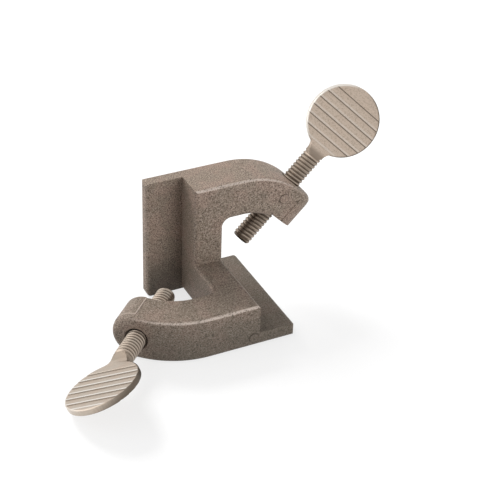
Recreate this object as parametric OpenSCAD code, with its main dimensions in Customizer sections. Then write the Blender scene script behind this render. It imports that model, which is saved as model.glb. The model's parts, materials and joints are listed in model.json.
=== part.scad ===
// Boss head clamp: one die-cast body that holds two rods at a right angle,
// and two spade-head thumbscrews that press the rods into their corners.
// The upright rod stands along Z on the origin. The cross rod lies along Y, beside it.

/* [Rods] */
// Diameter of both rods
rod_d = 12.7; // [10:0.1:14]

/* [Casting] */
// Wall between the two rods
web = 9.9; // [7:0.1:14]
// Wall behind each rod, opposite the hook
ledge = 4.7; // [3.5:0.1:7]
// Reach of that wall past the rod's axis
lip = 6.1; // [4:0.1:9]
// Thickness of each hook, along the rod that it holds
plate_t = 15; // [13:0.1:18]
// Rod axis to the outside of the hook
hook_reach = 32.2; // [29:0.1:38]
// Depth of the hook's arm
hook_t = 13; // [10:0.1:15]
// Straight length of the hook's arm past the rod's axis
arm_len = 1; // [0:0.1:4]
// Fillet in the corner of the throat
throat_r = 3; // [1.5:0.1:5]
// Rounding of the casting's edges
edge_r = 1.3; // [0.6:0.1:1.6]
// Straight plate of the boss, after the hook's bend
boss_len = 2.75; // [1.5:0.05:5]
// Step that sets the boss's inner face back from the arm
boss_step = 1; // [0.3:0.1:2]
// Length of that inner face before the screw's axis
boss_seat = 4.2; // [3.5:0.1:5]
// Centre of the boss's half-round end, past the middle of the rod
boss_end_out = 0.8; // [0:0.1:1.5]
// Length of the straight plate past that centre
boss_over = 0.4; // [0.1:0.1:1]
// Height of the half-round end over the near side of the plate
boss_rise = 0.2; // [0.1:0.05:0.5]
// Step down from the half-round end to its outer rim
boss_rim_step = 0.15; // [0.05:0.05:0.15]
// Rounding of the boss's outer rim
boss_rim_r = 2.5; // [1:0.1:3]

/* [Screws] */
// Major diameter of the screws
screw_d = 6.35; // [5:0.05:7]
// Offset of the cross rod's screw from the middle of its rod, towards the arm
cross_shift = 1.2; // [0:0.1:1.5]
// Offset of the upright rod's screw from the middle of its rod, towards the arm
upright_shift = 0.5; // [0:0.1:1.5]
// Gap all round between a screw and its hole
screw_clear = 0.05; // [0.02:0.01:0.1]
// Length of the shank, from its tip to the head
shank_len = 36; // [34:0.5:44]
// Chamfer on the tip of the shank
tip_chamfer = 0.6; // [0.2:0.1:1.2]
// Countersink at the outer mouth of each hole
mouth_chamfer = 0.8; // [0.3:0.1:1.5]
// Diameter of the spade head
spade_d = 24.6; // [18:0.1:28]
// Thickness of the spade head
spade_t = 2.2; // [1.6:0.1:3]
// Rounding of the spade's rim
rim_r = 0.5; // [0.2:0.1:0.6]
// Straight neck between the shank and the spade
neck_len = 1.5; // [0.5:0.1:3]
// Concave radius of the neck
neck_r = 4; // [2:0.1:6]
// Length of the hollow that flattens the shank into the spade
wedge_len = 3.6; // [2.5:0.1:4]
// Number of ridges across each face of the spade
ridges = 6; // [3:1:6]
// Height of the ridges
ridge_h = 0.25; // [0.1:0.05:0.4]
// Turn of the cross rod's screw about its axis
cross_turn = -22; // [-180:1:180]
// Turn of the upright rod's screw about its axis
upright_turn = -152.5; // [-180:0.5:180]

/* [Hidden] */
$fn = 96;

rod_r = rod_d / 2;
screw_r = screw_d / 2;
hole_r = screw_r + screw_clear;
spade_r = spade_d / 2;
// The two rod axes pass each other at this distance
axis_gap = rod_d + web;
// Outside of the ledge, from the rod's axis, and so the cross rod's height over the underside
back = rod_r + ledge;
// Outside of the web, from the rod's axis
side = rod_r + web;
// A jaw's plate lies between -back and near along its rod
near = plate_t - back;
mid = (near - back) / 2;
// Underside of the hook's arm
arm_low = hook_reach - hook_t;
// Centre of the hook's bend, across and along the screw's axis, and the bend's two radii
bend_across = boss_len - boss_over - boss_end_out;
bend_v = arm_len + bend_across * sqrt(2);
bend_along = (arm_len + bend_v) / sqrt(2);
bend_r = hook_reach - bend_v;
bend_in = bend_r - hook_t;
// Outer face of the boss, along the screw's axis from the rod's axis
boss_out = bend_along + bend_r;
boss_r = plate_t / 2;
// Shank's end to the centre of the spade, whose rim the neck's arcs enter as deep as its rounding
spade_out = neck_len + sqrt(pow(spade_r - rim_r + neck_r, 2) - pow(screw_r + neck_r, 2));
// Ridges divide the spade evenly, with a plain stretch at each end
ridge_pitch = spade_d / (ridges + 2);
// Depth by which that hollow crosses the flat of the spade
wedge_dip = 0.03;
// Overlap of pieces that are cast or forged as one, and overrun of cuts
lap = 1;
eps = 0.01;
FOUR = [[-1, -1], [1, -1], [1, 1], [-1, 1]];

// A jaw is drawn in u, v and w: its rod along w, its web on -u and its ledge on -v
module on_cross_rod() {
    translate([axis_gap, 0, back])
        rotate([90, 0, 0])
            children();
}

module on_upright_rod() {
    translate([0, 0, back])
        rotate([0, 0, 180])
            children();
}

// From the centre of the bend, along the screw's axis in u and across it in v
module on_bend() {
    translate([arm_len, bend_v, 0])
        rotate([0, 0, 45])
            children();
}

// Third axis along the screw, from beside the middle of the rod
module on_screw(shift) {
    translate([0, 0, mid])
        rotate([0, 0, 45])
            translate([0, shift, 0])
                rotate([0, 90, 0])
                    children();
}

// Rectangle with edge_r at the corners that are listed by their signs
module rounded(low, high, corners, r = edge_r) {
    centre = (low + high) / 2;
    half = (high - low) / 2;
    difference() {
        translate(low)
            square(high - low);
        for (c = corners)
            translate([centre.x + c.x * half.x, centre.y + c.y * half.y])
                difference() {
                    translate(c * (eps - r) / 2)
                        square(r + eps, center = true);
                    translate(-c * r)
                        circle(r);
                }
    }
}

// Extrude a drawing of v and w along u
module along_u(from, to) {
    translate([from, 0, 0])
        rotate([90, 0, 90])
            linear_extrude(to - from)
                children();
}

// Extrude a drawing of u and -w along v
module along_v(from, to) {
    translate([0, from, 0])
        rotate([-90, 0, 0])
            linear_extrude(to - from)
                children();
}

module arm() {
    intersection() {
        along_u(-side, arm_len)
            rounded([arm_low, -back], [hook_reach, near], FOUR);
        along_v(arm_low - lap, hook_reach + lap)
            rounded([-side, -near], [hook_reach, back], [[-1, -1], [-1, 1]]);
    }
}

// Half of the boss's round end, with a fine step where its rim begins
module boss_half() {
    difference() {
        rounded([0, bend_in], [boss_r, bend_r], [[1, 1]], boss_rim_r);
        translate([boss_r - boss_rim_step, bend_r - boss_rim_r])
            square(boss_rim_r + lap);
    }
}

// Bend of the hook, and the boss after it: a straight plate with a half-round end
module bend_and_boss() {
    difference() {
        union() {
            rotate_extrude(angle = 45)
                rounded([bend_in, -back], [bend_r, near], FOUR);
            along_v(-boss_len, 0)
                rounded([bend_in, -near], [bend_r, back], FOUR);
            translate([0, boss_over - boss_len, mid + boss_rise])
                rotate([0, 90, 0])
                    rotate([0, 0, 180])
                        rotate_extrude(angle = 180)
                            boss_half();
        }
        along_v(-boss_len - boss_r, boss_seat - bend_across)
            translate([bend_in - lap, -near - lap])
                square([lap + boss_step, plate_t + 2 * lap]);
    }
}

module throat_fillet() {
    translate([throat_r - rod_r, arm_low - throat_r, 0])
        rotate([0, 0, 90])
            rotate_extrude(angle = 90)
                rounded([throat_r, -back], [2 * throat_r, near], [[-1, -1], [-1, 1]]);
}

// Column between the two rods, its back buried in the other jaw's ledge
module web_column() {
    along_v(ledge / 2 - back, hook_reach - hook_t / 2)
        rounded([-side, -near], [-rod_r, back - ledge / 2], [[-1, -1], [1, -1]]);
}

// Wall opposite the hook, which runs on along the rod behind the other jaw
module ledge_plate() {
    intersection() {
        translate([0, 0, -back])
            linear_extrude(back + hook_reach)
                rounded([-side, -back], [lip, -rod_r], [[-1, -1], [1, -1], [1, 1]]);
        along_v(-back - lap, lap - rod_r)
            rounded([-side, -hook_reach], [lip, back], FOUR);
        along_u(-side - lap, lip + lap)
            rounded([-back, -back], [hook_reach, hook_reach], [[-1, -1], [-1, 1]]);
    }
}

module jaw() {
    arm();
    on_bend()
        bend_and_boss();
    throat_fillet();
    web_column();
    ledge_plate();
}

module screw_hole() {
    translate([0, 0, rod_r])
        cylinder(h = boss_out, r = hole_r);
    translate([0, 0, boss_out - mouth_chamfer])
        cylinder(h = 2 * mouth_chamfer, r1 = hole_r, r2 = hole_r + 2 * mouth_chamfer);
}

module clamp_body() {
    color("#8a7d74")
        difference() {
            union() {
                on_cross_rod()
                    jaw();
                on_upright_rod()
                    jaw();
            }
            on_cross_rod()
                on_screw(cross_shift)
                    screw_hole();
            on_upright_rod()
                on_screw(upright_shift)
                    screw_hole();
        }
}

// Half of the shank and its neck: a concave flare that runs into the spade's rim
module shank_half() {
    fork = [screw_r + neck_r, shank_len + neck_len];
    centre = [0, shank_len + spade_out];
    touch = fork + (centre - fork) * neck_r / norm(centre - fork);
    difference() {
        polygon([
            [0, 0],
            [screw_r - tip_chamfer, 0],
            [screw_r, tip_chamfer],
            [screw_r, fork.y],
            touch,
            centre
        ]);
        translate(fork)
            circle(neck_r);
    }
}

// Extrude a side view of the head across it
module across_head() {
    rotate([90, 0, 90])
        linear_extrude(2 * spade_d, center = true)
            children();
}

// Side view of what is forged away on one side, from the shank to the flat of the spade
module flat_side() {
    flat = spade_t / 2;
    depth = screw_r - flat + wedge_dip;
    hollow_r = (pow(wedge_len, 2) + pow(depth, 2)) / (2 * depth);
    translate([flat, wedge_len])
        square([spade_r, spade_out]);
    translate([flat - wedge_dip + hollow_r, wedge_len])
        circle(hollow_r);
}

// Side view of the saw-tooth ridges in one face of the spade
module ridge_side() {
    flat = spade_t / 2;
    first = (1 - ridges) / 2;
    tooth = [[flat - ridge_h, 0], [flat, 1]];
    polygon(concat(
        [[flat + lap, first * ridge_pitch]],
        [for (i = [0 : ridges - 1], p = tooth) [p.x, (first + i + p.y) * ridge_pitch]],
        [[flat + lap, (first + ridges) * ridge_pitch]]
    ));
}

module thumbscrew() {
    difference() {
        union() {
            difference() {
                rotate_extrude()
                    shank_half();
                translate([0, 0, shank_len])
                    across_head()
                        for (side = [0, 1])
                            mirror([side, 0])
                                flat_side();
            }
            translate([0, 0, shank_len + spade_out])
                rotate([90, 0, 0])
                    rotate_extrude()
                        rounded([0, -spade_t / 2], [spade_r, spade_t / 2], [[1, -1], [1, 1]], rim_r);
        }
        translate([0, 0, shank_len + spade_out])
            across_head()
                for (turn = [0, 180])
                    rotate(turn)
                        ridge_side();
    }
}

module cross_rod_screw() {
    color("#c9bba8")
        on_cross_rod()
            on_screw(cross_shift)
                translate([0, 0, rod_r])
                    rotate([0, 0, cross_turn - 90])
                        thumbscrew();
}

module upright_rod_screw() {
    color("#c9bba8")
        on_upright_rod()
            on_screw(upright_shift)
                translate([0, 0, rod_r])
                    rotate([0, 0, upright_turn - 90])
                        thumbscrew();
}

clamp_body();
cross_rod_screw();
upright_rod_screw();
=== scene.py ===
"""Boss head clamp: a tumbled die-casting with two forged thumbscrews, on a plain stage."""

import json
import math

import bmesh
import bpy
from bpy.props import FloatProperty, FloatVectorProperty, IntProperty, PointerProperty
from mathutils import Matrix, Vector


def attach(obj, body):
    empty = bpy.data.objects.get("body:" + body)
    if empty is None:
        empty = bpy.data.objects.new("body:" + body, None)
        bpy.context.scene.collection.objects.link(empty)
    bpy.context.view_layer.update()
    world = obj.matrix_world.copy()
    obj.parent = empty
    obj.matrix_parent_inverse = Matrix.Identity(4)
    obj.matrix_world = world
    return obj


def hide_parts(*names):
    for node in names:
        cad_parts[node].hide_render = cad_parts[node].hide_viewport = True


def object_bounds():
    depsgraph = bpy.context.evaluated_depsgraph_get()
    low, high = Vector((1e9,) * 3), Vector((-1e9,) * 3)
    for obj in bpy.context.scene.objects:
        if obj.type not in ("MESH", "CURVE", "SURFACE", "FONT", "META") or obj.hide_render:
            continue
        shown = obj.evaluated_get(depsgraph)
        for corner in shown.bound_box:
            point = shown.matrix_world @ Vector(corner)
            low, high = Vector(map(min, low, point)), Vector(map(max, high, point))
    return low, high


bl_info = {
    "name": "Boss Head Clamp",
    "version": (1, 0, 0),
    "blender": (4, 5, 0),
    "location": "View3D > Sidebar > Clamp",
    "description": "Finishes the casting, threads the screws and sets the stage of a boss head clamp",
    "category": "Add Mesh",
}

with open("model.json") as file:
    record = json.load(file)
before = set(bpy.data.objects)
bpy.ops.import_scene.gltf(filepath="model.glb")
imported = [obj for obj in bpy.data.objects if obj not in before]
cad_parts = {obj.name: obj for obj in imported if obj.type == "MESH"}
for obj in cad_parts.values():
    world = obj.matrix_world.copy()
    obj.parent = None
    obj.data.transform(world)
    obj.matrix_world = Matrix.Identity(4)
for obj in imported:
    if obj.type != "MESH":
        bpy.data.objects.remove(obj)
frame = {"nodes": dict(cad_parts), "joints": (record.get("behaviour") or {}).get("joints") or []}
CAD_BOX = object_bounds()
MM = 0.001
CASTING = "clamp_body"
# Each screw with the joint along which it advances, the upper one first
SCREWS = {"cross_rod_screw": "cross_rod_screw_advance", "upright_rod_screw": "upright_rod_screw_advance"}
UP = Vector((0, 0, 1))
# Direction of the light: each spade's rim gets a painted highlight on the side that lies this way and
# painted shade on the other side
LIT_SIDE = Vector((-0.6, 0.5, 0.6))
SHARP_ANGLE = math.radians(32)
SENSOR_WIDTH = 36
FLOOR_GAP = 0.1 * MM


def length_of(default, name, description):
    """A length, written in millimetres and kept in metres."""
    return FloatProperty(
        name=name, description=description, default=default * MM, min=0, precision=5, unit="LENGTH"
    )


def share_of(default, name, description):
    """A share between 0 and 1."""
    return FloatProperty(name=name, description=description, default=default, min=0, max=1, subtype="FACTOR")


def colour_of(default, name, description):
    """A colour, in linear light."""
    return FloatVectorProperty(
        name=name, description=description, default=default, size=3, min=0, max=1, subtype="COLOR"
    )


def angle_of(degrees, name, description):
    """An angle, written in degrees and kept in radians."""
    return FloatProperty(
        name=name, description=description, default=math.radians(degrees), subtype="ANGLE", unit="ROTATION"
    )


def place_of(default, name, description):
    """A place, written in millimetres and kept in metres."""
    return FloatVectorProperty(
        name=name, description=description, default=[v * MM for v in default], subtype="TRANSLATION"
    )


def count_of(default, name, description):
    """A whole number, 1 or more."""
    return IntProperty(name=name, description=description, default=default, min=1, subtype="UNSIGNED")


def power_of(default, name, description):
    """The power of a lamp, in watts."""
    return FloatProperty(name=name, description=description, default=default, min=0, unit="POWER")


class CastingLook(bpy.types.PropertyGroup):
    """Finish of the casting with its painted shade and painted highlights, and the round marks that its
    ejector pins left.
    """

    alloy: colour_of((0.235, 0.184, 0.142), "Alloy", "Colour of the tumbled surface")
    warm: colour_of((0.285, 0.208, 0.164), "Warm patches", "Colour of the pinker patches")
    pit: colour_of((0.045, 0.034, 0.026), "Pits", "Colour of the dark specks")
    fleck: colour_of((0.46, 0.385, 0.33), "Flecks", "Colour of the pale specks")
    # Painted shade: the casting is painted darker in this colour towards its underside
    painted_shade_colour: colour_of((0.05, 0.047, 0.037), "Soot", "Colour of the grime towards the underside")
    # Colour of the worn edges, which is also a painted highlight along the front-top edges and the boss's
    # step
    wear_and_highlight: colour_of((0.52, 0.44, 0.385), "Worn edge", "Colour of the rubbed edges")
    metallic: share_of(0.3, "Metallic", "How much of the surface reflects as bare metal")
    roughness: share_of(0.6, "Roughness", "Roughness of the tumbled surface")
    speck: length_of(0.42, "Speck size", "Distance between the dark specks")
    grain: length_of(0.25, "Grain size", "Distance between the finest grains")
    patch: length_of(7, "Patch size", "Distance between the warm patches")
    # Painted shade: how much darker the casting is painted towards its underside, and up to what height
    painted_shade: share_of(0.6, "Grime", "How much darker the casting gets towards its underside")
    painted_shade_top: length_of(26, "Grime height", "Height over the underside where the grime ends")
    # Painted light: the faces turned left, towards the light, keep less of the painted shade
    left_lit: share_of(0.85, "Handled", "How much of the grime is rubbed off the faces to the left")
    relief: length_of(0.06, "Relief", "Depth of the grain")
    # Width of the painted shade round the mouth of each screw hole
    mouth: length_of(0.9, "Mouth dirt", "Width of the dirt round the mouth of each screw hole")
    mark_radius: length_of(1.7, "Pin mark radius", "Radius of an ejector pin's mark")
    mark_height: length_of(0.18, "Pin mark height", "Height of an ejector pin's mark")
    mark_upper: place_of((38.1, -3.95, 33.05), "Upper mark", "Centre of the mark on the upper jaw's front")
    mark_lower: place_of((14.2, -32.2, 3.2), "Lower mark", "Centre of the mark on the lower jaw's front")


class ScrewLook(bpy.types.PropertyGroup):
    """Sizes of the thread and the spade head, and the plating of the thumbscrews with its painted shade and
    painted highlights.
    """

    pitch: length_of(1.27, "Thread pitch", "Advance of the thread in one turn")
    crest: share_of(0.4, "Crest", "Flat crest of the thread, as a share of its pitch")
    root: share_of(0.3, "Root", "Flat root of the thread, as a share of its pitch")
    flanks: angle_of(60, "Flank angle", "Angle between the two flanks of the thread")
    steps: count_of(72, "Steps", "Steps of the thread in one turn")
    tip: length_of(0.6, "Tip chamfer", "Chamfer at the tip of the shank")
    shank: length_of(36, "Shank", "Tip of the shank to the start of its hollows")
    neck: length_of(1.5, "Neck", "Length of thread that runs on beside the hollows")
    hollow: length_of(3.6, "Hollow", "Length of the hollows that flatten the shank into the spade")
    dip: length_of(0.03, "Dip", "Depth by which the hollows cross the flat of the spade")
    flat: length_of(1.1, "Half thickness", "Half of the thickness of the spade")
    spade: length_of(24.6, "Spade", "Diameter of the spade")
    ridges: count_of(6, "Ridges", "Ridges across each face of the spade")
    nickel: colour_of((0.525, 0.425, 0.345), "Nickel", "Colour of the plating")
    # Paler patches of plating, given more to the lower screw: random tone, and paint that makes that screw
    # look lit
    shine: colour_of((0.51, 0.46, 0.395), "Shine", "Colour of the rubbed plating")
    # Bare metal, also used as a painted highlight on the ridge crests and the lit side of each rim
    bare_and_highlight: colour_of((0.86, 0.83, 0.78), "Bare metal", "Colour where the plating is rubbed through")
    # Dirt, also used as painted shade in the thread's roots and crease, the hollows, the foot of each ridge
    # and the rim's unlit side
    dirt_and_shade: colour_of((0.075, 0.057, 0.04), "Dirt", "Colour of what is left in the grooves")
    roughness: share_of(0.4, "Roughness", "Roughness of the plating")
    # Dirt and painted shade: the upper screw is painted darker than the lower one, as if less lit
    upper_dirt_and_shade: share_of(0.8, "Upper dirt", "How dirty the upper screw is")
    lower_dirt_and_shade: share_of(0.25, "Lower dirt", "How dirty the lower screw is")
    drag: length_of(0.3, "Drag marks", "Distance between the fine marks across the spade")


class StageLook(bpy.types.PropertyGroup):
    """Camera, floor and light."""

    camera_place: place_of((-164.755, -373.553, 291.865), "Camera", "Place of the camera")
    azimuth: angle_of(-27.323, "Azimuth", "Direction of the camera round the clamp")
    elevation: angle_of(33.525, "Elevation", "Height of the camera over the horizon")
    roll: angle_of(2.022, "Roll", "Turn of the camera about its own line of sight")
    lens: FloatProperty(
        name="Lens", description="Focal length on a 36 mm sensor", default=109.2, min=10, unit="CAMERA"
    )
    floor: colour_of((0.9, 0.9, 0.9), "Floor", "Colour of the floor where it is looked at")
    bounce: colour_of((0.2, 0.195, 0.19), "Bounce", "Colour of the light that the floor throws back")
    floor_size: length_of(4000, "Floor size", "Side of the floor")
    clear: length_of(600, "Clear of shadow", "Distance from which the floor is plain white")
    glow: share_of(0.7, "Floor glow", "How much of the floor's white is its own")
    sky: share_of(0.32, "Sky", "Strength of the light from all round")
    key: power_of(10, "Key", "Power of the lamp above and behind")
    key_place: place_of((-110, 640, 480), "Key place", "Place of the lamp above and behind")
    key_size: length_of(350, "Key size", "Side of the lamp above and behind")
    fill: power_of(5, "Fill", "Power of the lamp in front")
    fill_place: place_of((350, -650, 230), "Fill place", "Place of the lamp in front")
    fill_size: length_of(500, "Fill size", "Side of the lamp in front")
    edge: power_of(4.2, "Edge", "Power of the lamp on the left")
    edge_place: place_of((-520, 180, 270), "Edge place", "Place of the lamp on the left")
    edge_size: length_of(1100, "Edge size", "Side of the lamp on the left")


class Value:
    """A socket that carries a number: operators on it add Math nodes."""

    def __init__(self, graph, socket):
        self.graph = graph
        self.socket = socket

    def math(self, operation, *others):
        """A Math node with this value first."""
        return self.graph.maths(operation, self, *others)

    def __add__(self, other):
        return self.math("ADD", other)

    def __sub__(self, other):
        return self.math("SUBTRACT", other)

    def __rsub__(self, other):
        return self.graph.maths("SUBTRACT", other, self)

    def __mul__(self, other):
        return self.math("MULTIPLY", other)

    def __truediv__(self, other):
        return self.math("DIVIDE", other)

    def __abs__(self):
        return self.math("ABSOLUTE")

    __radd__ = __add__
    __rmul__ = __mul__

    def rise(self, low, high):
        """0 below low and 1 above high, with a smooth step between them."""
        return self.graph.node(
            "MapRange",
            {"interpolation_type": "SMOOTHSTEP"},
            {"Value": self, "From Min": low, "From Max": high},
        )

    def fall(self, low, high):
        """1 below low and 0 above high, with a smooth step between them."""
        return 1 - self.rise(low, high)


class Graph:
    """The nodes of one material or world."""

    def __init__(self, owner):
        self.owner = owner
        owner.use_nodes = True
        self.tree = owner.node_tree
        self.tree.nodes.clear()

    def node(self, kind, settings=None, sockets=None, out=None):
        """Add a node with its settings, then the values or links of its sockets, and give one output."""
        made = self.tree.nodes.new("ShaderNode" + kind)
        for key, value in (settings or {}).items():
            setattr(made, key, value)
        for key, value in (sockets or {}).items():
            socket = next(s for s in made.inputs if key in (s.identifier, s.name))
            if isinstance(value, Value):
                self.tree.links.new(value.socket, socket)
            else:
                socket.default_value = value
        outputs = [s for s in made.outputs if s.enabled and out in (None, s.identifier, s.name)]
        return Value(self, outputs[0]) if outputs else None

    def maths(self, operation, *numbers):
        sockets = dict(zip(("Value", "Value_001", "Value_002"), numbers))
        return self.node("Math", {"operation": operation}, sockets)

    def vector(self, operation, first, second, out="Vector"):
        sockets = {"Vector": first, "Vector_001": second}
        return self.node("VectorMath", {"operation": operation}, sockets, out)

    def place(self):
        return self.node("TexCoord", out="Object")

    def noise(self, size, detail=2.0, roughness=0.5):
        """Noise with about this distance between its spots."""
        sockets = {"Vector": self.place(), "Scale": 1 / size, "Detail": detail, "Roughness": roughness}
        return self.node("TexNoise", {}, sockets, out="Fac")

    def mix(self, share, first, second):
        """A colour between two others."""
        sockets = {"Factor_Float": share, "A_Color": shade(first), "B_Color": shade(second)}
        return self.node("Mix", {"data_type": "RGBA"}, sockets, out="Result_Color")

    def along(self, start, direction):
        """Distance along a direction, from a start."""
        return self.vector("DOT_PRODUCT", self.place(), direction, "Value") - start.dot(direction)

    def away(self, start):
        """Distance from a point."""
        return self.vector("DISTANCE", self.place(), start, "Value")

    def beside(self, start, direction):
        """Distance from a line."""
        arm = self.vector("SUBTRACT", self.place(), start)
        return self.vector("LENGTH", self.vector("CROSS_PRODUCT", arm, direction), (0, 0, 0), "Value")

    def seen(self):
        """1 where the camera looks, straight or by way of a mirror or glass."""
        kinds = ("Camera", "Glossy", "Transmission")
        camera, glossy, through = (self.node("LightPath", out=f"Is {kind} Ray") for kind in kinds)
        return (camera + glossy + through).rise(0, 1)

    def finish(self, **sockets):
        """Close a material with one Principled shader."""
        named = {key.replace("_", " "): value for key, value in sockets.items()}
        surface = self.node("BsdfPrincipled", {}, named)
        self.node("OutputMaterial", {}, {"Surface": surface})
        return self.owner


def shade(colour):
    """A colour with its alpha, unless it is a link."""
    return colour if isinstance(colour, Value) else (*colour, 1.0)


def die_cast(look, marks, holes, seams):
    """Tumbled zinc: dark pits and pale flecks on warm grey, rubbed bright along its upper edges with a
    painted highlight, and painted shade towards its underside, round its pin marks and round its screw
    holes.
    """
    graph = Graph(bpy.data.materials.new("die_cast_zinc"))
    # Pits and flecks on a ground of grey with warm patches
    patches = graph.noise(look.patch, 3.0)
    specks = graph.noise(look.speck, 2.0, 0.6)
    grain = graph.noise(look.grain, 2.0, 0.6)
    colour = graph.mix(patches.rise(0.4, 0.65), look.alloy, look.warm)
    colour = graph.mix(specks.rise(0.52, 0.68) * 0.65, colour, look.fleck)
    colour = graph.mix(specks.fall(0.36, 0.48) * 0.75, colour, look.pit)
    colour = graph.mix(grain.fall(0.36, 0.46) * 0.55, colour, look.pit)

    # Painted shade towards the underside, with less of it on the faces turned left, towards the light
    facing = graph.node("TexCoord", out="Normal")
    side, front, up = (graph.node("SeparateXYZ", {}, {"Vector": facing}, out=axis) for axis in "XYZ")
    painted_shade = graph.along(Vector(), UP).fall(0, look.painted_shade_top) * look.painted_shade
    left_lit = side.fall(-0.95, -0.4) * look.left_lit
    colour = graph.mix(painted_shade * (1 - left_lit), colour, look.painted_shade_colour)

    # Edges between front and top are rubbed bright: wear together with a painted highlight
    wear_and_highlight = (front * up * -2).rise(0.55, 1) * patches.rise(0.25, 0.5) * specks.rise(0.3, 0.5)
    colour = graph.mix(wear_and_highlight * 0.85, colour, look.wear_and_highlight)

    # Painted shade in a ring round each pin mark and round the mouth of each screw hole, and a pale line
    # along the boss's step: wear with a painted highlight on its edge
    for mark in marks:
        ring = abs(graph.away(mark) - look.mark_radius).fall(0.05 * MM, 0.25 * MM)
        colour = graph.mix(ring * 0.6, colour, look.pit)
    for hole, axis, radius in holes:
        boss = graph.along(hole, axis).rise(radius, 2 * radius)
        mouth = graph.beside(hole, axis).fall(radius, radius + look.mouth) * boss
        colour = graph.mix(mouth * 0.9, colour, look.pit)
    soft = 0.1 * MM
    # Wear with a painted highlight along both legs of the step's edge
    for corner, across, along, reach in seams:
        beside = graph.along(corner, across)
        beyond = graph.along(corner, along)
        line = abs(beside).fall(0.8 * soft, 2 * soft) * beyond.fall(0, soft)
        line = line + abs(beyond).fall(0.8 * soft, 2 * soft) * beside.rise(0, soft)
        line = line * beyond.rise(-reach, soft - reach)
        line = line * abs(graph.along(corner, UP)).fall(2 * MM, 3 * MM)
        colour = graph.mix(line * 0.9, colour, look.wear_and_highlight)

    sockets = {"Strength": 0.7, "Distance": look.relief, "Height": specks * 0.7 + grain * 0.3}
    return graph.finish(
        Base_Color=colour,
        Metallic=look.metallic,
        Roughness=look.roughness + (0.5 - specks) * 0.3 - wear_and_highlight * 0.2,
        Normal=graph.node("Bump", {}, sockets),
    )


def plated(name, look, screw, dirty_and_shaded):
    """Satin nickel with dirt specks and drag marks, painted shade in the roots and crease of the thread, in
    the hollows and at the foot of each ridge, and painted highlights along the ridge crests and the lit side
    of the rim.
    """
    graph = Graph(bpy.data.materials.new(name))
    out = graph.along(screw.origin, screw.axis)
    cloud = graph.noise(4 * MM, 3.0)
    grain = graph.noise(0.5 * MM, 3.0)
    sockets = {"W": out, "Scale": 1 / look.drag, "Detail": 2.0}
    drag = graph.node("TexNoise", {"noise_dimensions": "1D"}, sockets, out="Fac")

    # Thread, hollows and head, one after another along the screw
    flat_start = look.shank + look.hollow
    thread = out.fall(look.shank - look.neck / 4, look.shank)
    head = out.rise(flat_start - look.hollow / 2, flat_start)
    hollow = out.rise(look.shank, look.shank + look.neck / 4) * (1 - head)

    # The roots of the thread, and the crease that rolling leaves along its crest, both given painted shade
    low = screw.radius - thread_depth(look)
    root = graph.beside(screw.origin, screw.axis).fall(low, screw.radius) * thread
    face = graph.along(screw.origin, screw.square)
    turn = face.math("ARCTAN2", graph.along(screw.origin, screw.across)) / math.tau
    lead = (out / look.pitch - turn).math("FRACT")
    crease = abs(lead - (1 + look.root) / 2).fall(0.04, 0.1) * thread

    # The rim of the spade, and the foot and crest of each ridge, for painted shade and painted highlights
    middle = screw.length - look.spade / 2
    centre = screw.origin + screw.axis * middle
    reach = look.spade / 2
    rim = graph.beside(centre, screw.square).rise(reach - 0.6 * MM, reach - 0.2 * MM)
    rim = rim * out.rise(flat_start, flat_start + 2 * MM)
    # How far a point of the rim lies towards the light
    rubbed_and_lit = graph.along(centre, LIT_SIDE) / reach
    pitch = look.spade / (look.ridges + 2)
    first = (1 - look.ridges) / 2
    steps = (out - middle) * face.math("SIGN") / pitch - first
    ridged = steps.rise(-0.02, 0) * steps.fall(look.ridges, look.ridges + 0.02) * (1 - rim)
    tooth = steps.math("FRACT")
    foot = tooth.fall(0.06, 0.16) * ridged
    crest = tooth.rise(0.74, 0.84) * ridged

    # Paler patches, fewer on the darker-painted screw
    colour = graph.mix(cloud.rise(0.2, 0.8) * (1 - dirty_and_shaded), look.nickel, look.shine)
    colour = graph.mix(grain.fall(0.3, 0.55) * head * dirty_and_shaded * 0.35, colour, look.dirt_and_shade)
    colour = graph.mix(drag.fall(0.3, 0.6) * head * 0.12, colour, look.dirt_and_shade)
    # Painted shade in the hollows and on the rim's side away from the light
    colour = graph.mix(hollow * 0.45, colour, look.dirt_and_shade)
    colour = graph.mix(rim * rubbed_and_lit.fall(-0.4, 0.1) * 0.85, colour, look.dirt_and_shade)
    # Painted highlights along the ridge crests and on the rim's lit side
    colour = graph.mix(crest * (1 - dirty_and_shaded) + rim * rubbed_and_lit.rise(0.1, 0.6) * 0.7, colour, look.bare_and_highlight)
    # Painted shade at the foot of each ridge, in the thread's roots and crease, and over the whole thread of
    # the darker-painted screw
    colour = graph.mix(foot * (0.2 + 0.75 * dirty_and_shaded), colour, look.dirt_and_shade)
    colour = graph.mix(thread * dirty_and_shaded * 0.4 + root * 0.5 + crease * 0.4, colour, look.dirt_and_shade)

    sockets = {"Strength": 0.3, "Distance": 0.02 * MM, "Height": drag * head}
    return graph.finish(
        Base_Color=colour,
        Metallic=1.0,
        Roughness=look.roughness + (cloud - 0.5) * 0.1 + root * 0.2 + hollow * 0.2 - crest * 0.1,
        Normal=graph.node("Bump", {}, sockets),
    )


def pale_floor(look):
    """White where it is looked at, with the clamp's own shadow, and darker for the light it throws back."""
    graph = Graph(bpy.data.materials.new("pale_floor"))
    seen = graph.seen()
    colour = graph.mix(seen, look.bounce, look.floor)
    sockets = {"Base Color": colour, "Roughness": 1.0, "Specular IOR Level": 0.0}
    matt = graph.node("BsdfPrincipled", {}, sockets)
    white = graph.node("Emission", {}, {"Color": (1, 1, 1, 1), "Strength": 1.0})
    far = graph.away(Vector()).rise(look.clear / 2, look.clear)
    share = look.glow + far * (1 - look.glow)
    sockets = {"Fac": seen * share, "Shader": matt, "Shader_001": white}
    graph.node("OutputMaterial", {}, {"Surface": graph.node("MixShader", {}, sockets)})
    return graph.owner


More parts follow.
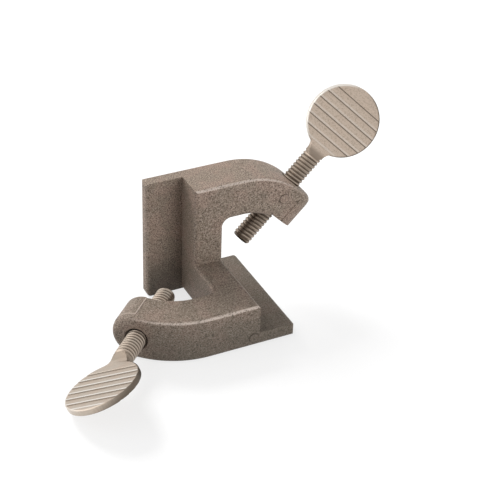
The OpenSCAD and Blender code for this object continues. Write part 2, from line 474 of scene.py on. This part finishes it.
def studio(look):
    """Even light from all round, and white where it is looked at."""
    graph = Graph(bpy.data.worlds.new("studio"))
    seen = graph.seen()
    sockets = {"Color": (1, 1, 1, 1), "Strength": seen * (1 - look.sky) + look.sky}
    graph.node("OutputWorld", {}, {"Surface": graph.node("Background", {}, sockets)})
    return graph.owner


def thread_depth(look):
    """Height of the crest over the root."""
    return look.pitch * (1 - look.crest - look.root) / 2 / math.tan(look.flanks / 2)


def cut(bm, point, normal):
    """Cut away what lies beyond a plane, and close the cut."""
    made = bmesh.ops.bisect_plane(
        bm,
        geom=bm.verts[:] + bm.edges[:] + bm.faces[:],
        dist=1e-7,
        plane_co=point,
        plane_no=normal,
        clear_outer=True,
    )
    rim = [e for e in made["geom_cut"] if isinstance(e, bmesh.types.BMEdge)]
    bmesh.ops.holes_fill(bm, edges=rim, sides=0)


def show(bm, name, body, material):
    """Make a piece of a bmesh, smooth apart from its sharp edges, and set it on a body."""
    mesh = bpy.data.meshes.new(name)
    bm.to_mesh(mesh)
    bm.free()
    mesh.shade_smooth()
    mesh.set_sharp_from_angle(angle=SHARP_ANGLE)
    mesh.materials.append(material)
    piece = bpy.data.objects.new(name, mesh)
    bpy.context.scene.collection.objects.link(piece)
    even = piece.modifiers.new("even_shading", "WEIGHTED_NORMAL")
    even.keep_sharp = True
    even.weight = 90
    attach(piece, body)
    return piece


class Screw:
    """A screw's own frame, read from its solid: origin at the tip, Z outwards, Y square to the spade."""

    def __init__(self, name):
        self.name = name
        self.node = frame["nodes"][name]
        inward = next(j["axis"] for j in frame["joints"] if j["name"] == SCREWS[name])
        self.axis = -Vector(inward).normalized()
        mesh = self.node.data
        ends = [v.co.dot(self.axis) for v in mesh.vertices]
        self.length = max(ends) - min(ends)
        # The widest ramp of the ridges leans back on the face that Y points out of
        ramps = [p for p in mesh.polygons if 0.01 < abs(p.normal.dot(self.axis)) < 0.2]
        lean = max(ramps, key=lambda p: p.area).normal
        upright = lean - lean.dot(self.axis) * self.axis
        self.square = math.copysign(1, -lean.dot(self.axis)) * upright.normalized()
        self.across = self.square.cross(self.axis)
        rim = [v.co for v, end in zip(mesh.vertices, ends) if end < min(ends) + MM / 100]
        self.origin = self.axis * min(ends)
        for side in (self.across, self.square):
            reach = [p.dot(side) for p in rim]
            self.origin += side * (min(reach) + max(reach)) / 2
        turned = Matrix((self.across, self.square, self.axis)).transposed().to_4x4()
        self.own = Matrix.Translation(self.origin) @ turned
        local = self.own.inverted()
        points = [local @ v.co for v in mesh.vertices]
        self.radius = max(p.xy.length for p in points if p.z < self.length / 2)

    def seam(self, casting):
        """Corner of the step on the boss's half-round end, the ways of its two legs, and its reach."""
        across = UP.cross(self.axis)
        points = [v.co for v in casting.data.vertices]
        points = [p for p in points if (p - self.origin).dot(self.axis) > 2 * self.radius]
        points = [p for p in points if abs((p - self.origin).dot(across)) < 4 * self.radius]
        high = max(p.z for p in points)
        crest = [p for p in points if p.z > high - MM / 50]
        corner = max(crest, key=lambda p: p.dot(self.axis))
        reach = max((corner - p).dot(self.axis) for p in crest)
        side = sum((p - corner).dot(across) for p in points)
        return corner.copy(), math.copysign(1, -side) * across, self.axis, reach

    def shank(self, look):
        """Thread along Z from its tip at the origin, pressed into two hollows at its far end."""
        end = look.shank + look.neck
        flank = look.pitch * (1 - look.crest - look.root) / 2
        low = self.radius - thread_depth(look)
        outline = [
            (low, 0),
            (low, look.pitch * look.root),
            (self.radius, look.pitch * look.root + flank),
            (self.radius, look.pitch - flank),
            (low, look.pitch),
        ]
        bm = bmesh.new()
        verts = [bm.verts.new((r, 0, z - 2 * look.pitch)) for r, z in outline]
        edges = [bm.edges.new(pair) for pair in zip(verts, verts[1:])]
        bmesh.ops.spin(
            bm,
            geom=verts + edges,
            cent=(0, 0, 0),
            axis=(0, 0, 1),
            dvec=(0, 0, look.pitch / look.steps),
            angle=math.tau,
            steps=look.steps,
        )
        turn = bm.verts[:] + bm.edges[:] + bm.faces[:]
        for number in range(1, math.ceil(end / look.pitch) + 3):
            made = bmesh.ops.duplicate(bm, geom=turn)
            copied = [v for v in made["geom"] if isinstance(v, bmesh.types.BMVert)]
            bmesh.ops.translate(bm, verts=copied, vec=(0, 0, look.pitch * number))
        bmesh.ops.remove_doubles(bm, verts=bm.verts, dist=look.pitch / 1000)
        cut(bm, (0, 0, 0), (0, 0, -1))
        cut(bm, (0, 0, end), (0, 0, 1))
        depth = self.radius - look.flat + look.dip
        bow = (look.hollow**2 + depth**2) / (2 * depth)
        for vert in bm.verts:
            chamfer = self.radius - look.tip + vert.co.z
            vert.co.xy *= min(1, chamfer / vert.co.xy.length)
            left = min(look.hollow, look.shank + look.hollow - vert.co.z)
            room = look.flat - look.dip + bow - math.sqrt(bow**2 - left**2)
            vert.co.y = max(-room, min(room, vert.co.y))
        return bm

    def head(self, start):
        """The spade and its neck, taken from the solid screw."""
        bm = bmesh.new()
        bm.from_mesh(self.node.data)
        bmesh.ops.remove_doubles(bm, verts=bm.verts, dist=MM / 10000)
        bm.transform(self.own.inverted())
        cut(bm, (0, 0, start), (0, 0, -1))
        return bm


class CLAMP_OT_casting(bpy.types.Operator):
    """Give the casting its tumbled finish"""

    bl_idname = "clamp.casting"
    bl_label = "Casting"

    def execute(self, context):
        look = context.scene.clamp_casting
        casting = frame["nodes"][CASTING]
        marks = [Vector(look.mark_upper), Vector(look.mark_lower)]
        upper, lower = (Screw(name) for name in SCREWS)
        holes = [(screw.origin, screw.axis, screw.radius) for screw in (upper, lower)]
        finish = die_cast(look, marks, holes, [lower.seam(casting)])
        casting.data.materials.clear()
        casting.data.materials.append(finish)
        return {"FINISHED"}


class CLAMP_OT_pin_marks(bpy.types.Operator):
    """Raise the round marks of the ejector pins on the casting"""

    bl_idname = "clamp.pin_marks"
    bl_label = "Pin marks"

    def execute(self, context):
        look = context.scene.clamp_casting
        marks = {"pin_mark_upper": Vector(look.mark_upper), "pin_mark_lower": Vector(look.mark_lower)}
        finish = frame["nodes"][CASTING].data.materials[0]
        outwards = Matrix.Rotation(math.pi / 2, 4, "X")
        for name, centre in marks.items():
            bm = bmesh.new()
            bmesh.ops.create_circle(bm, cap_ends=True, radius=look.mark_radius, segments=48)
            made = bmesh.ops.extrude_face_region(bm, geom=bm.faces[:])
            top = [v for v in made["geom"] if isinstance(v, bmesh.types.BMVert)]
            bmesh.ops.translate(bm, verts=top, vec=(0, 0, 2 * look.mark_height))
            bmesh.ops.bevel(
                bm,
                geom=[e for e in bm.edges if all(v in top for v in e.verts)],
                offset=look.mark_height / 2,
                segments=2,
                profile=0.5,
                affect="EDGES",
                material=-1,
            )
            bmesh.ops.recalc_face_normals(bm, faces=bm.faces)
            bm.transform(Matrix.Translation(centre + Vector((0, look.mark_height, 0))) @ outwards)
            show(bm, name, CASTING, finish)
        return {"FINISHED"}


class CLAMP_OT_screws(bpy.types.Operator):
    """Thread and plate both thumbscrews"""

    bl_idname = "clamp.screws"
    bl_label = "Thumbscrews"

    def execute(self, context):
        look = context.scene.clamp_screws
        dirt_and_shade = dict(zip(SCREWS, (look.upper_dirt_and_shade, look.lower_dirt_and_shade)))
        for name in SCREWS:
            screw = Screw(name)
            bm = screw.shank(look)
            head = screw.head(look.shank + look.neck - look.tip / 2)
            joined = bpy.data.meshes.new(name)
            head.to_mesh(joined)
            head.free()
            bm.from_mesh(joined)
            bpy.data.meshes.remove(joined)
            bmesh.ops.recalc_face_normals(bm, faces=bm.faces)
            bm.transform(screw.own)
            finish = plated("nickel_" + name, look, screw, dirt_and_shade[name])
            piece = show(bm, "threaded_" + name, name, finish)
            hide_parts(name)
        return {"FINISHED"}


class CLAMP_OT_stage(bpy.types.Operator):
    """Set the camera, the pale floor and the soft light"""

    bl_idname = "clamp.stage"
    bl_label = "Stage"

    def execute(self, context):
        scene = context.scene
        look = scene.clamp_stage
        camera = bpy.data.objects.new("camera", bpy.data.cameras.new("camera"))
        camera.data.lens = look.lens
        camera.data.sensor_width = SENSOR_WIDTH
        turn = Matrix.Rotation(look.azimuth, 4, "Z")
        turn = turn @ Matrix.Rotation(math.pi / 2 - look.elevation, 4, "X")
        turn = turn @ Matrix.Rotation(look.roll, 4, "Z")
        camera.matrix_world = Matrix.Translation(look.camera_place) @ turn
        scene.collection.objects.link(camera)
        scene.camera = camera

        bm = bmesh.new()
        bmesh.ops.create_grid(bm, x_segments=1, y_segments=1, size=look.floor_size / 2)
        bmesh.ops.translate(bm, verts=bm.verts, vec=(0, 0, CAD_BOX[0].z - FLOOR_GAP))
        floor = bpy.data.objects.new("floor", bpy.data.meshes.new("floor"))
        bm.to_mesh(floor.data)
        bm.free()
        floor.data.materials.append(pale_floor(look))
        scene.collection.objects.link(floor)

        centre = (CAD_BOX[0] + CAD_BOX[1]) / 2
        lamps = {
            "key": (look.key, look.key_size, look.key_place),
            "fill": (look.fill, look.fill_size, look.fill_place),
            "edge": (look.edge, look.edge_size, look.edge_place),
        }
        for name, (power, size, place) in lamps.items():
            lamp = bpy.data.objects.new(name, bpy.data.lights.new(name, "AREA"))
            lamp.data.energy = power
            lamp.data.size = size
            lamp.location = place
            # Plating mirrors the edge lamp alone, so that the others don't burn it out
            lamp.visible_glossy = name == "edge"
            lamp.rotation_euler = (centre - Vector(place)).to_track_quat("-Z", "Y").to_euler()
            scene.collection.objects.link(lamp)
        scene.world = studio(look)
        scene.view_settings.view_transform = "Standard"
        return {"FINISHED"}


class CLAMP_PT_parts(bpy.types.Panel):
    """Lists the clamp's operators, and the sizes and colours that they use"""

    bl_label = "Boss head clamp"
    bl_space_type = "VIEW_3D"
    bl_region_type = "UI"
    bl_category = "Clamp"

    def draw(self, context):
        for operator in OPERATORS:
            self.layout.operator(operator.bl_idname)
        for name, look in LOOKS.items():
            box = self.layout.box()
            for key in look.__annotations__:
                box.prop(getattr(context.scene, name), key)


LOOKS = {"clamp_casting": CastingLook, "clamp_screws": ScrewLook, "clamp_stage": StageLook}
OPERATORS = (CLAMP_OT_casting, CLAMP_OT_pin_marks, CLAMP_OT_screws, CLAMP_OT_stage)


def register():
    for cls in (*LOOKS.values(), *OPERATORS, CLAMP_PT_parts):
        bpy.utils.register_class(cls)
    for name, look in LOOKS.items():
        setattr(bpy.types.Scene, name, PointerProperty(type=look))


def unregister():
    for name in LOOKS:
        delattr(bpy.types.Scene, name)
    for cls in (CLAMP_PT_parts, *reversed(OPERATORS), *reversed(LOOKS.values())):
        bpy.utils.unregister_class(cls)


def main():
    """Make the clamp and its stage."""
    register()
    bpy.ops.clamp.casting()
    bpy.ops.clamp.pin_marks()
    bpy.ops.clamp.screws()
    bpy.ops.clamp.stage()
    bpy.context.view_layer.update()


if __name__ == "__main__":
    main()
